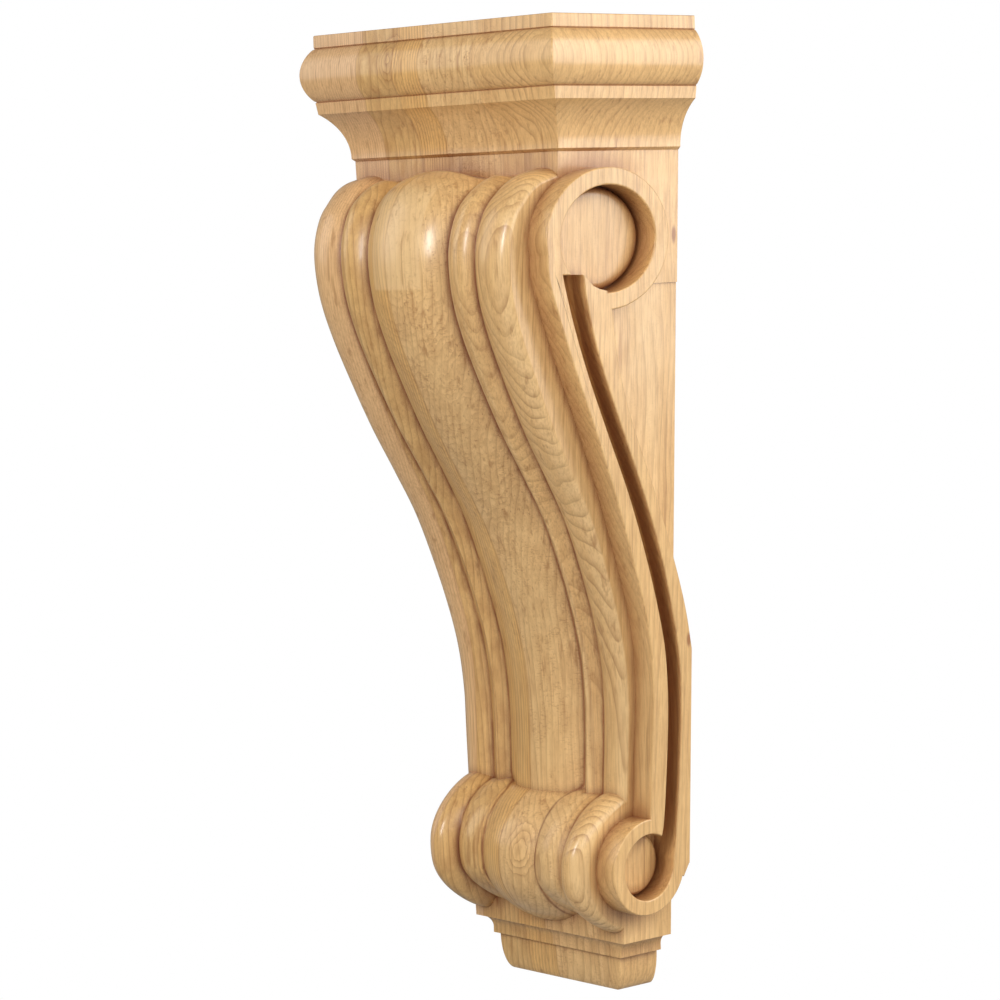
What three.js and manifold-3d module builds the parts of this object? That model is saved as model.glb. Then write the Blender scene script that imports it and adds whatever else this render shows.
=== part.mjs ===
// A carved wood corbel with a moulded cap, a fluted S-shaped front and a scroll on each side.
// Millimetres, +Z up. The front faces -Y and the wall is the plane Y = 0.
// Heights are measured up from the underside of the foot, and reach is measured out from the wall.
// The origin is on the wall face, halfway up.

import * as THREE from 'three';
import { mergeVertices } from 'three/addons/utils/BufferGeometryUtils.js';
import Module from 'manifold-3d';

const wasm = await Module();
wasm.setup();

// Foot, from the ground up: a block with rounded sides, then a hollow moulding out to the shaft.
const footHeight = 20.4;
const footMouldingHeight = 10.9;
const footLedge = 3.6;
const footRounding = 7.4;
const footMouldingStep = 8.8;
const footFilletHeight = 4.2;
const footLedgeFall = 0.6;
const footTopLine = 0.4;
const footCoveShare = 0.85;
const footTurnShare = 0.97;
const frontStepShare = 0.63;

// Shaft between the foot and the cap: its sides lean out towards the top.
const shaftHeight = 453.4;
const shaftWidthBottom = 129.8;
const shaftWidthTop = 177.2;
const baseDepth = 37.6;
const neckDepth = 91.9;
const neckHeight = 46;

// Cap mouldings from the neck up, each with its height, and how far each stands proud of the neck.
const lipHeight = 1.8;
const coveHeight = 26.5;
const lowerFilletHeight = 7.2;
const beadHeight = 31;
const topFilletHeight = 7.8;
const lipStep = 1.8;
const capStep = 16;
const beadBulge = 6.3;
const filletSlope = 1;

// Front body: the line of its side edges, as shares of the scroll's reach and the shaft's height.
const scrollReach = 129.7;
const scrollLine = [
  [0.794, 0.9616], [0.883, 0.95], [0.947, 0.9314], [0.99, 0.8992], [0.999, 0.8661],
  [0.979, 0.8231], [0.925, 0.7757], [0.837, 0.7192], [0.728, 0.6566], [0.605, 0.5959],
  [0.498, 0.5404], [0.407, 0.4755], [0.34, 0.4171], [0.296, 0.365], [0.276, 0.3136],
  [0.273, 0.2574], [0.279, 0.1912], [0.28, 0.12],
];

// Lower roll: its side edge is a circle about a cross axis.
const rollRadius = 38.9;
const rollReach = 26.7;
const rollHeight = 77.5;

// Flutes across the front, from the neck down and then round the lower roll. From the middle out
// they are a broad centre lobe, a narrow bead and an outer lobe. Places are shares of the half width,
// and rises are measured from the line of the side edge. A low bead shape makes its crest an arris,
// and a high softness makes the valleys round.
const neckFlutes = {
  innerValleyAt: 0.42, beadAt: 0.56, outerValleyAt: 0.685, outerAt: 0.84,
  centre: 3, innerValley: 0, bead: 2, outerValley: 0.5, outer: 5.4, edge: 0,
  beadShape: 2, beadSoftness: 1, lobeSoftness: 1,
};
const crownFlutes = {
  innerValleyAt: 0.42, beadAt: 0.56, outerValleyAt: 0.685, outerAt: 0.84,
  centre: 10, innerValley: -1, bead: 5.5, outerValley: 0, outer: 6, edge: 0,
  beadShape: 2, beadSoftness: 1, lobeSoftness: 0.9,
};
const upperFlutes = {
  innerValleyAt: 0.41, beadAt: 0.57, outerValleyAt: 0.685, outerAt: 0.84,
  centre: 12.5, innerValley: -2, bead: 4.5, outerValley: -1, outer: 2.5, edge: -3.5,
  beadShape: 2, beadSoftness: 1, lobeSoftness: 0.95,
};
const lowerFlutes = {
  innerValleyAt: 0.46, beadAt: 0.56, outerValleyAt: 0.69, outerAt: 0.85,
  centre: 9.5, innerValley: -1.5, bead: 3.5, outerValley: -1.5, outer: 3.5, edge: -0.7,
  beadShape: 1.2, beadSoftness: 1.6, lobeSoftness: 1.3,
};
const rollFlutes = {
  innerValleyAt: 0.33, beadAt: 0.507, outerValleyAt: 0.694, outerAt: 0.86,
  centre: 6.6, innerValley: 1.2, bead: 3.6, outerValley: -0.4, outer: 9.4, edge: -1.2,
  beadShape: 2, beadSoftness: 1.2, lobeSoftness: 1.1,
};
const rollTopFlutes = {
  ...rollFlutes, centre: 3.6, innerValley: 1.4, bead: 2.4, outerValley: 0.6, outer: 4.4,
};
const rollUnderFlutes = {
  ...rollFlutes, innerValleyAt: 0.4, centre: 3, innerValley: -4, bead: -3.6, outerValley: -5.6, outer: 3,
};
const rollTurnStart = 0.15;
const rollTurnEnd = 0.9;
const neckFluteEnd = 0.026;
const crownFluteAt = 0.055;
const upperFluteStart = 0.1;
const upperFluteEndHeight = 400;
const lowerFluteStartHeight = 230;

// Sides of the lobes: the shape of every lobe, and how the outer lobe turns over to the side.
const lobeShape = 2.3;
const outerEdgeSoftness = 0.65;

// Side scroll: a raised band with a slot down its middle and a round eye at each end.
// The side at +X is in full relief and the side at -X in low relief.
const fullRelief = 15;
const lowRelief = 7;
const slotFloorDepth = 3;
const eyeFloorDepth = 2;
const panelRecess = 0.8;
const panelTop = 410;
const eyeReach = 67.2;
const eyeHeight = 436.1;
const eyeRadiusAcross = 35.6;
const eyeRadiusUp = 29.7;
const ringWidthAcross = 10.6;
const ringWidthUp = 9.6;
const lowerEyeReach = 31.6;
const lowerEyeHeight = 77.4;
const lowerEyeRadius = 19.2;
const lowerRingWidth = 8.8;
const slotTop = 417;
const buttonGap = 0.8;
const buttonRaise = 2.8;
const buttonRounding = 0.16;
const bandFront = [
  [112.4, 429], [112, 419], [109.2, 408.5], [100.9, 387.3], [90.4, 362.1], [77.4, 333.7],
  [59.6, 290.6], [46.2, 254], [36.7, 225], [31.6, 200], [29.9, 172], [30.6, 140], [31.2, 104],
];
const slotFront = [
  [100.6, slotTop], [98.2, 408], [91.3, 386.9], [81.4, 361.6], [67.6, 331], [49, 290.6],
  [35.3, 254], [26.2, 225], [20.4, 200], [18, 172], [18.3, 140], [20.2, 104], [22.5, 92],
];
const slotBack = [
  [86, slotTop], [83.5, 403], [77.6, 382], [70, 362.1], [57.1, 333], [37.9, 290.6],
  [24, 254], [15.9, 225], [10.2, 200], [7.8, 172], [8.3, 140], [10, 104], [12.2, 82],
  [15.5, 70],
];
const bandBack = [
  [64, 398], [62, 385], [58, 364], [47.5, 333], [28.8, 290.6], [14.6, 254], [5, 225],
  [-0.6, 200], [-4, 185],
];
const bandEnd = [[0, 75], [4, 68]];
const eyeShelf = [
  [89, slotTop], [86, slotTop], [78.5, 410.5], [74, 408.7], [68, 407.4], [68, 398], [89, 398],
];

const shaftBottom = footHeight + footMouldingHeight;
const shaftTop = shaftBottom + shaftHeight;
const capHeight = lipHeight + coveHeight + lowerFilletHeight + beadHeight + topFilletHeight;
const totalHeight = shaftTop + capHeight;
const mountHeight = totalHeight / 2;
const pastWall = 5;
const overlap = 2;
const clearance = 2 * Math.max(scrollReach, shaftWidthTop);

function halfWidthAt(height) {
  const share = (height - shaftBottom) / shaftHeight;
  return THREE.MathUtils.lerp(shaftWidthBottom, shaftWidthTop, share) / 2;
}

// Turns a closed geometry into a solid.
function toSolid(geometry) {
  const bare = geometry.clone();
  bare.deleteAttribute('normal');
  bare.deleteAttribute('uv');
  const merged = mergeVertices(bare, 1e-4);
  const mesh = new wasm.Mesh({
    numProp: 3,
    vertProperties: new Float32Array(merged.attributes.position.array),
    triVerts: new Uint32Array(merged.index.array),
  });
  return new wasm.Manifold(mesh);
}

function toGeometry(solid) {
  const mesh = solid.getMesh();
  const geometry = new THREE.BufferGeometry();
  geometry.setAttribute('position', new THREE.BufferAttribute(mesh.vertProperties, 3));
  geometry.setIndex(new THREE.BufferAttribute(mesh.triVerts, 1));
  return geometry;
}

// Skins closed rings of points, all with the same number of points, and closes both ends.
function loft(rings) {
  const count = rings[0].length;
  const positions = [];
  const faces = [];
  for (const ring of rings) {
    for (const point of ring) positions.push(point.x, point.y, point.z);
  }
  for (let r = 0; r + 1 < rings.length; r += 1) {
    for (let i = 0; i < count; i += 1) {
      const next = (i + 1) % count;
      const a = r * count + i;
      const b = r * count + next;
      faces.push(a, b, b + count, a, b + count, a + count);
    }
  }
  closeEnd(rings[0], 0, true);
  closeEnd(rings[rings.length - 1], (rings.length - 1) * count, false);

  function closeEnd(ring, first, flipped) {
    const middle = new THREE.Vector3();
    for (const point of ring) middle.addScaledVector(point, 1 / count);
    const hub = positions.length / 3;
    positions.push(middle.x, middle.y, middle.z);
    for (let i = 0; i < count; i += 1) {
      const a = first + i;
      const b = first + ((i + 1) % count);
      if (flipped) faces.push(hub, b, a);
      else faces.push(hub, a, b);
    }
  }

  const geometry = new THREE.BufferGeometry();
  geometry.setAttribute('position', new THREE.Float32BufferAttribute(positions, 3));
  geometry.setIndex(faces);
  return geometry;
}

// A rectangle against the wall, as a ring that runs anticlockwise seen from above.
function wallRectangle(halfWidth, depth, height) {
  return [
    new THREE.Vector3(-halfWidth, -depth, height),
    new THREE.Vector3(halfWidth, -depth, height),
    new THREE.Vector3(halfWidth, pastWall, height),
    new THREE.Vector3(-halfWidth, pastWall, height),
  ];
}

// A side outline in reach and height, extruded along X between two heights above the side face.
function sideSolid(shape, low, high, side, divisions = 12) {
  const geometry = new THREE.ExtrudeGeometry(shape, {
    depth: high - low,
    bevelEnabled: false,
    curveSegments: divisions,
  });
  return toSolid(leanOnSide(geometry, low, side));
}

// Moves a geometry drawn in reach, height and thickness onto the leaning side face.
function leanOnSide(geometry, low, side) {
  const position = geometry.attributes.position;
  for (let i = 0; i < position.count; i += 1) {
    const reach = position.getX(i);
    const height = position.getY(i);
    const raise = low + position.getZ(i);
    position.setXYZ(i, side * (halfWidthAt(height) + raise), -reach, height);
  }
  if (side > 0) flipFaces(geometry);
  return geometry;
}

function flipFaces(geometry) {
  if (!geometry.index) geometry.setIndex([...Array(geometry.attributes.position.count).keys()]);
  const index = geometry.index.array;
  for (let i = 0; i < index.length; i += 3) {
    const kept = index[i];
    index[i] = index[i + 1];
    index[i + 1] = kept;
  }
}

function smoothLine(points, divisions) {
  return new THREE.SplineCurve(toVectors(points)).getPoints(divisions);
}

function toVectors(points) {
  return points.map(([reach, height]) => new THREE.Vector2(reach, height));
}

function ellipsePath(reach, height, across, up) {
  const curve = new THREE.EllipseCurve(reach, height, across, up, 0, 2 * Math.PI, false, 0);
  return curve.getPoints(36).slice(0, -1);
}

function mixFlutes(a, b, share) {
  const mixed = {};
  for (const key of Object.keys(a)) mixed[key] = THREE.MathUtils.lerp(a[key], b[key], share);
  return mixed;
}

// One flute section: its places across the half width and its rises, from one side to the other.
function section(flutes) {
  const half = [{ share: 0, rise: flutes.centre }];
  const side = (crestAt, crest, valleyAt, valley, shape, softness, steps) => {
    const inward = valleyAt < crestAt;
    for (let i = 1; i <= steps; i += 1) {
      const turn = (Math.PI / 2) * (inward ? (steps - i) / steps : i / steps);
      const off = Math.sin(turn);
      const rise = valley + (crest - valley) * (1 - off ** shape) ** softness;
      half.push({ share: crestAt + (valleyAt - crestAt) * off, rise });
    }
  };
  const { innerValleyAt, beadAt, outerValleyAt, outerAt, innerValley, outerValley } = flutes;
  const { beadShape, beadSoftness, lobeSoftness } = flutes;
  side(0, flutes.centre, innerValleyAt, innerValley, lobeShape, lobeSoftness, 7);
  side(beadAt, flutes.bead, innerValleyAt, innerValley, beadShape, beadSoftness, 3);
  side(beadAt, flutes.bead, outerValleyAt, outerValley, beadShape, beadSoftness, 3);
  side(outerAt, flutes.outer, outerValleyAt, outerValley, lobeShape, lobeSoftness, 4);
  side(outerAt, flutes.outer, 1, flutes.edge, lobeShape, outerEdgeSoftness, 4);
  const mirrored = half.slice(1).reverse().map(({ share, rise }) => ({ share: -share, rise }));
  return [...mirrored, ...half];
}

// The fluted body from the neck down into the lower roll.
function frontBody() {
  const line = [
    new THREE.Vector2(neckDepth * 0.87, shaftBottom + 0.976 * shaftHeight),
    ...scrollLine.map(([reach, height]) => (
      new THREE.Vector2(reach * scrollReach, shaftBottom + height * shaftHeight))),
  ];
  const curve = new THREE.SplineCurve(line);
  const steps = 34;
  const rings = [];
  for (let i = 0; i <= steps; i += 1) {
    const along = i / steps;
    const edge = curve.getPointAt(along);
    const tangent = curve.getTangentAt(along);
    const outward = new THREE.Vector2(-tangent.y, tangent.x);
    const lower = THREE.MathUtils.smoothstep(-edge.y, -upperFluteEndHeight, -lowerFluteStartHeight);
    const crown = THREE.MathUtils.smoothstep(along, neckFluteEnd, crownFluteAt);
    const upper = THREE.MathUtils.smoothstep(along, crownFluteAt, upperFluteStart);
    const top = mixFlutes(neckFlutes, crownFlutes, crown);
    const flutes = mixFlutes(top, mixFlutes(upperFlutes, lowerFlutes, lower), upper);
    const ring = [];
    const place = ({ share, rise }, past) => {
      const height = edge.y + outward.y * rise;
      const reach = edge.x + outward.x * rise;
      ring.push(new THREE.Vector3(share * halfWidthAt(height) + past, -reach, height));
    };
    const points = section(flutes);
    place(points[0], -overlap);
    for (const point of points) place(point, 0);
    place(points[points.length - 1], overlap);
    const half = halfWidthAt(edge.y) + overlap;
    ring.push(new THREE.Vector3(half, pastWall, edge.y));
    ring.push(new THREE.Vector3(-half, pastWall, edge.y));
    rings.push(ring);
  }
  rings.reverse();
  return toSolid(loft(rings));
}

// The lower roll about its cross axis. Its flutes are shallow on top and deep underneath.
function lowerRoll() {
  const past = 1 + overlap / shaftWidthBottom;
  const steps = 36;
  const lines = [];
  for (let i = 0; i < steps; i += 1) {
    const angle = (2 * Math.PI * i) / steps;
    const up = Math.sin(angle);
    const over = THREE.MathUtils.smoothstep(up, rollTurnStart, rollTurnEnd);
    const under = THREE.MathUtils.smoothstep(-up, rollTurnStart, rollTurnEnd);
    const flutes = mixFlutes(mixFlutes(rollFlutes, rollTopFlutes, over), rollUnderFlutes, under);
    const points = section(flutes);
    const ends = [{ share: -past, rise: flutes.edge }, { share: past, rise: flutes.edge }];
    lines.push([ends[0], ...points, ends[1]].map(({ share, rise }) => {
      const radius = rollRadius + rise;
      const height = rollHeight + radius * up;
      return new THREE.Vector3(
        share * halfWidthAt(height), radius * Math.cos(angle) - rollReach, height);
    }));
  }
  return toSolid(loft(lines[0].map((_, across) => lines.map((line) => line[across]))));
}

// Everything whose side faces are flush with the shaft's leaning sides.
function shaft() {
  const neck = loft([
    wallRectangle(clearance, neckDepth, shaftTop - neckHeight),
    wallRectangle(clearance, neckDepth, shaftTop),
  ]);
  const base = loft([
    wallRectangle(clearance, baseDepth, shaftBottom),
    wallRectangle(clearance, baseDepth, rollHeight),
  ]);
  const low = shaftBottom - clearance;
  const high = shaftTop + clearance;
  const flush = loft([
    wallRectangle(halfWidthAt(low), clearance, low),
    wallRectangle(halfWidthAt(high), clearance, high),
  ]);
  return toSolid(neck).add(toSolid(base)).add(frontBody()).add(lowerRoll()).intersect(toSolid(flush));
}

// The cap, mitred round the front and both sides.
function cap() {
  const rings = [];
  const level = (step, height) => {
    rings.push(wallRectangle(shaftWidthTop / 2 + step, neckDepth + step, height));
  };
  level(0, shaftTop);
  let height = shaftTop + lipHeight;
  level(lipStep, height);
  const coveTop = height + coveHeight;
  const coveRun = capStep - filletSlope - lipStep;
  const coveRadius = (coveHeight * coveHeight + coveRun * coveRun) / (2 * coveRun);
  const coveSteps = 7;
  for (let i = 1; i <= coveSteps; i += 1) {
    const up = (coveHeight * i) / coveSteps;
    level(lipStep + coveRadius - Math.sqrt(coveRadius * coveRadius - up * up), height + up);
  }
  height = coveTop + lowerFilletHeight;
  level(capStep, height);
  const half = beadHeight / 2;
  const beadRadius = (half * half + beadBulge * beadBulge) / (2 * beadBulge);
  const beadSteps = 12;
  for (let i = 1; i < beadSteps; i += 1) {
    const up = -half + (beadHeight * i) / beadSteps;
    const out = beadBulge - beadRadius + Math.sqrt(beadRadius * beadRadius - up * up);
    level(capStep + out, height + half + up);
  }
  height += beadHeight;
  level(capStep, height);
  level(capStep, height + topFilletHeight);
  return toSolid(loft(rings));
}

// The foot, which steps in less at the front than at the sides.
function foot() {
  const rings = [];
  const level = (step, height) => {
    rings.push(wallRectangle(shaftWidthBottom / 2 - step, baseDepth - step * frontStepShare, height));
  };
  const footSteps = 7;
  const footTopStep = footMouldingStep + footLedge;
  for (let i = 0; i <= footSteps; i += 1) {
    const down = 1 - i / footSteps;
    const round = 1 - Math.sqrt(1 - footTurnShare * down * down);
    level(footTopStep + footRounding * round, footHeight * (1 - down));
  }
  level(footMouldingStep, footHeight + footLedgeFall);
  const coveBottom = footHeight + footFilletHeight;
  const coveRise = shaftBottom - coveBottom;
  const coveSteps = 6;
  for (let i = 0; i <= coveSteps; i += 1) {
    const angle = (Math.PI / 2) * (i / coveSteps);
    const step = footMouldingStep * (1 - footCoveShare * (1 - Math.cos(angle)));
    level(step, coveBottom + coveRise * Math.sin(angle));
  }
  level(0, shaftBottom + footTopLine);
  level(0, shaftBottom + overlap);
  return toSolid(loft(rings));
}

// The raised band of one side, still without its slot and eyes.
function band(side, relief) {
  const outerRing = ellipsePath(
    eyeReach, eyeHeight, eyeRadiusAcross + ringWidthAcross, eyeRadiusUp + ringWidthUp);
  const lowerOuter = lowerEyeRadius + lowerRingWidth;
  const lowerRing = ellipsePath(lowerEyeReach, lowerEyeHeight, lowerOuter, lowerOuter);
  const foot = toVectors([
    [-pastWall, bandEnd[0][1]], ...bandEnd, [lowerEyeReach, lowerEyeHeight],
    [lowerEyeReach, lowerEyeHeight + lowerOuter], [-pastWall, lowerEyeHeight + lowerOuter],
  ]);
  const strip = [
    ...smoothLine(bandFront, 28),
    new THREE.Vector2(-pastWall, lowerEyeHeight + lowerEyeRadius),
    ...smoothLine(bandBack, 18).reverse(),
  ];
  return [outerRing, lowerRing, foot, strip]
    .map((points) => sideSolid(new THREE.Shape(points), -overlap, relief, side))
    .reduce((whole, piece) => whole.add(piece));
}

// A low domed button filling an eye.
function button(side, reach, height, across, up) {
  const bottom = -slotFloorDepth - overlap;
  const steps = 5;
  const profile = [new THREE.Vector2(0, bottom), new THREE.Vector2(1, bottom)];
  for (let i = 0; i <= steps; i += 1) {
    const angle = (Math.PI / 2) * (i / steps);
    const out = 1 - buttonRounding * (1 - Math.cos(angle));
    const rise = buttonRaise - (buttonRaise + eyeFloorDepth / 2) * (1 - Math.sin(angle));
    profile.push(new THREE.Vector2(out, rise));
  }
  profile.push(new THREE.Vector2(0, buttonRaise));
  const geometry = new THREE.LatheGeometry(profile, 32);
  const position = geometry.attributes.position;
  for (let i = 0; i < position.count; i += 1) {
    const x = reach + position.getX(i) * across;
    const y = height - position.getZ(i) * up;
    position.setXYZ(i, x, y, position.getY(i));
  }
  return toSolid(leanOnSide(geometry, 0, side));
}

// The scroll of one side: the band, the eyes with their buttons, and the slot between them.
function addScroll(body, side, relief) {
  const cutter = (points, depth) => (
    sideSolid(new THREE.Shape(points), -depth, relief + overlap, side));
  const eye = cutter(
    ellipsePath(eyeReach, eyeHeight, eyeRadiusAcross, eyeRadiusUp), eyeFloorDepth);
  const lowerEye = cutter(
    ellipsePath(lowerEyeReach, lowerEyeHeight, lowerEyeRadius, lowerEyeRadius), eyeFloorDepth);
  const slot = cutter([
    ...smoothLine(slotFront, 28),
    new THREE.Vector2(lowerEyeReach, lowerEyeHeight),
    ...smoothLine(slotBack, 28).reverse(),
  ], slotFloorDepth);
  const lowerButtonRadius = lowerEyeRadius - buttonGap;
  return body
    .add(band(side, relief))
    .subtract(eye)
    .add(button(side, eyeReach, eyeHeight, eyeRadiusAcross - buttonGap, eyeRadiusUp - buttonGap))
    .add(sideSolid(new THREE.Shape(toVectors(eyeShelf)), -slotFloorDepth - overlap, relief, side))
    .subtract(slot.add(lowerEye))
    .add(button(side, lowerEyeReach, lowerEyeHeight, lowerButtonRadius, lowerButtonRadius));
}

// The shallow step of one side: below it the panel behind the band lies a little deeper.
function panelCut(side) {
  const back = smoothLine(bandBack, 12).reverse();
  const outline = [
    new THREE.Vector2(-pastWall, panelTop), new THREE.Vector2(-pastWall, back[0].y),
    ...back, new THREE.Vector2(eyeReach, panelTop),
  ];
  return sideSolid(new THREE.Shape(outline), -panelRecess, overlap, side);
}

function corbel() {
  let body = shaft().subtract(panelCut(-1)).subtract(panelCut(1));
  body = addScroll(body, -1, lowRelief);
  body = addScroll(body, 1, fullRelief);
  const room = new THREE.BoxGeometry(2 * clearance, clearance, totalHeight + 2 * overlap);
  room.translate(0, -clearance / 2, totalHeight / 2);
  const geometry = toGeometry(body.add(cap()).add(foot()).intersect(toSolid(room)));
  geometry.translate(0, 0, -mountHeight);
  return geometry;
}

const wood = new THREE.MeshStandardMaterial({ color: 0xd9b483, roughness: 0.45, metalness: 0 });
const piece = new THREE.Mesh(corbel(), wood);
piece.name = 'corbel';

const model = new THREE.Group();
model.name = 'wood_corbel';
model.add(piece);

export default model;
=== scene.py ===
import math

import bpy
import numpy as np
from mathutils import Matrix, Vector


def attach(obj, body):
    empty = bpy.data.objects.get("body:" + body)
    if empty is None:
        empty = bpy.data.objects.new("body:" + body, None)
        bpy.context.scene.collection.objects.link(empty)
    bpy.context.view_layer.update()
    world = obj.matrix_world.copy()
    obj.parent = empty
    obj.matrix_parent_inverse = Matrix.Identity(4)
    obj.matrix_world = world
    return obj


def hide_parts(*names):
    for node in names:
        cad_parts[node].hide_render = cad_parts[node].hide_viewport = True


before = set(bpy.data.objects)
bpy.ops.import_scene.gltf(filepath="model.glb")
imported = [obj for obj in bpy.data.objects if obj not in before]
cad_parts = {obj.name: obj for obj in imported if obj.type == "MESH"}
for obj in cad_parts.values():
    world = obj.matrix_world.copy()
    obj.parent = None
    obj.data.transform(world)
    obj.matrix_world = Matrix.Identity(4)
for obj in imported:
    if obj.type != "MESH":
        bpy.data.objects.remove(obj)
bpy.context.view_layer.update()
print("frame loaded")

# Sizes are in millimetres. Heights are measured up from the underside of the foot, and reach is
# measured out from the wall, as on a workshop drawing. The finished mesh is turned into metres.
shaft = {
    "bottom": 31.3, "height": 453.4, "widthBottom": 129.8, "widthTop": 177.2,
    "baseDepth": 37.6, "neckDepth": 91.9, "neckHeight": 46,
}
wallMiddle = 279.5      # height of the origin, halfway up the wall face
pastWall = 5
overlap = 2
room = 400              # larger than any part of the corbel
perMetre = 1000
sharpAngle = 26         # in degrees: an edge that turns further is shaded as a crease
fineSteps = 4000        # for measuring along a curve
cornerSteps, easeSteps = 7, 6
shaftTop = shaft["bottom"] + shaft["height"]


def lerp(a, b, share):
    return a + (b - a) * share


def smoothStep(value, low, high):
    t = np.clip((value - low) / (high - low), 0, 1)
    return t * t * (3 - 2 * t)


def halfWidthAt(height):
    share = (height - shaft["bottom"]) / shaft["height"]
    return lerp(shaft["widthBottom"], shaft["widthTop"], share) / 2


# Lines and outlines

def curvePoints(points, count):
    # a smooth line through the points, with count + 1 points at even steps of its parameter
    p = np.array(points, float)
    p = np.vstack([p[0], p, p[-1]])
    along = np.linspace(0, len(points) - 1, count + 1)
    i = np.minimum(along.astype(int), len(points) - 2)
    t = (along - i)[:, None]
    p0, p1, p2, p3 = p[i], p[i + 1], p[i + 2], p[i + 3]
    v0, v1 = (p2 - p0) / 2, (p3 - p1) / 2
    return ((2 * p1 - 2 * p2 + v0 + v1) * t ** 3
            + (-3 * p1 + 3 * p2 - 2 * v0 - v1) * t ** 2 + v0 * t + p1)


def evenPoints(points, count):
    # the same line with its points at even distances along it
    fine = curvePoints(points, fineSteps)
    length = np.concatenate([[0], np.cumsum(np.linalg.norm(np.diff(fine, axis=0), axis=1))])
    along = np.linspace(0, length[-1], count + 1)
    return np.stack([np.interp(along, length, fine[:, k]) for k in (0, 1)], axis=1)


def ellipse(reach, height, across, up, count=120):
    turn = np.linspace(0, 2 * math.pi, count, endpoint=False)
    return np.stack([reach + across * np.cos(turn), height + up * np.sin(turn)], axis=1)


def anticlockwise(outline):
    x, y = outline.T
    area = np.sum(x * np.roll(y, -1) - y * np.roll(x, -1))
    return outline if area > 0 else outline[::-1]


def grow(outline, distance):
    # moves an anticlockwise outline outwards by the distance
    run = np.roll(outline, -1, axis=0) - outline
    run /= np.linalg.norm(run, axis=1)[:, None]
    out = np.stack([run[:, 1], -run[:, 0]], axis=1)
    mitre = out + np.roll(out, 1, axis=0)
    reach = 2 / np.maximum(np.sum(mitre ** 2, axis=1), 1)
    return outline + mitre * reach[:, None] * distance


# Solids

def makeSolid(rings, flipped=False, flatEnds=False):
    # skins closed rings of points and closes both ends
    rings = np.array(rings, float)
    if flipped:
        rings = rings[:, ::-1]
    rows, count = rings.shape[:2]
    i = np.arange(count)
    j = (i + 1) % count
    start = (np.arange(rows - 1) * count)[:, None]
    quads = np.stack([start + i, start + j, start + j + count, start + i + count], axis=2)
    faces = quads.reshape(-1, 4).tolist()
    points = rings.reshape(-1, 3)
    last = (rows - 1) * count
    if flatEnds:
        faces += [i[::-1].tolist(), (i + last).tolist()]
    else:
        low = rows * count
        points = np.vstack([points, rings[0].mean(axis=0), rings[-1].mean(axis=0)])
        faces += np.stack([np.full(count, low), j, i], axis=1).tolist()
        faces += np.stack([np.full(count, low + 1), i + last, j + last], axis=1).tolist()
    mesh = bpy.data.meshes.new("solid")
    mesh.from_pydata(points.tolist(), [], faces)
    solid = bpy.data.objects.new("solid", mesh)
    bpy.context.scene.collection.objects.link(solid)
    return solid


def combine(body, operation, *tools):
    for tool in tools:
        step = body.modifiers.new("step", "BOOLEAN")
        step.solver = "MANIFOLD"
        step.operation = operation
        step.object = tool
        seen = body.evaluated_get(bpy.context.evaluated_depsgraph_get())
        mesh = bpy.data.meshes.new_from_object(seen)
        body.modifiers.clear()
        old, body.data = body.data, mesh
        bpy.data.meshes.remove(old)
        bpy.data.objects.remove(tool)
    return body


def join(*solids):
    return combine(solids[0], "UNION", *solids[1:])


def block(halfWidth, depth, height, ease=0):
    # a ring against the wall, anticlockwise from above, with its two front corners eased
    turn = np.linspace(0, math.pi / 2, cornerSteps if ease else 1)
    x = halfWidth - ease + ease * np.sin(turn)
    y = -depth + ease - ease * np.cos(turn)
    right = np.stack([x, y], axis=1)
    left = right[::-1] * [-1, 1]
    ring = np.vstack([left, right, [halfWidth, pastWall], [-halfWidth, pastWall]])
    return np.column_stack([ring, np.full(len(ring), height)])


def leanOn(side, outline, rise):
    # an outline drawn in reach and height, laid on the leaning side face at a rise above it
    reach, height = outline.T
    return np.stack([side * (halfWidthAt(height) + rise), -reach, height], axis=1)


def sideSolid(side, outline, low, high, ease=0, flared=False):
    # ease rounds the upper edge of a raised piece, or of the hole that a flared cutter leaves
    outline = anticlockwise(np.array(outline, float))
    levels = [(low, 0), (high - ease, 0)]
    if ease:
        for turn in np.linspace(0, math.pi / 2, easeSteps)[1:]:
            step = ease * (1 - math.cos(turn))
            levels.append((high - ease + ease * math.sin(turn), step if flared else -step))
    if flared:
        levels.append((high + overlap, ease))
    rings = [leanOn(side, grow(outline, step) if step else outline, rise) for rise, step in levels]
    return makeSolid(rings, flipped=side > 0, flatEnds=True)


# The fluted front

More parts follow.
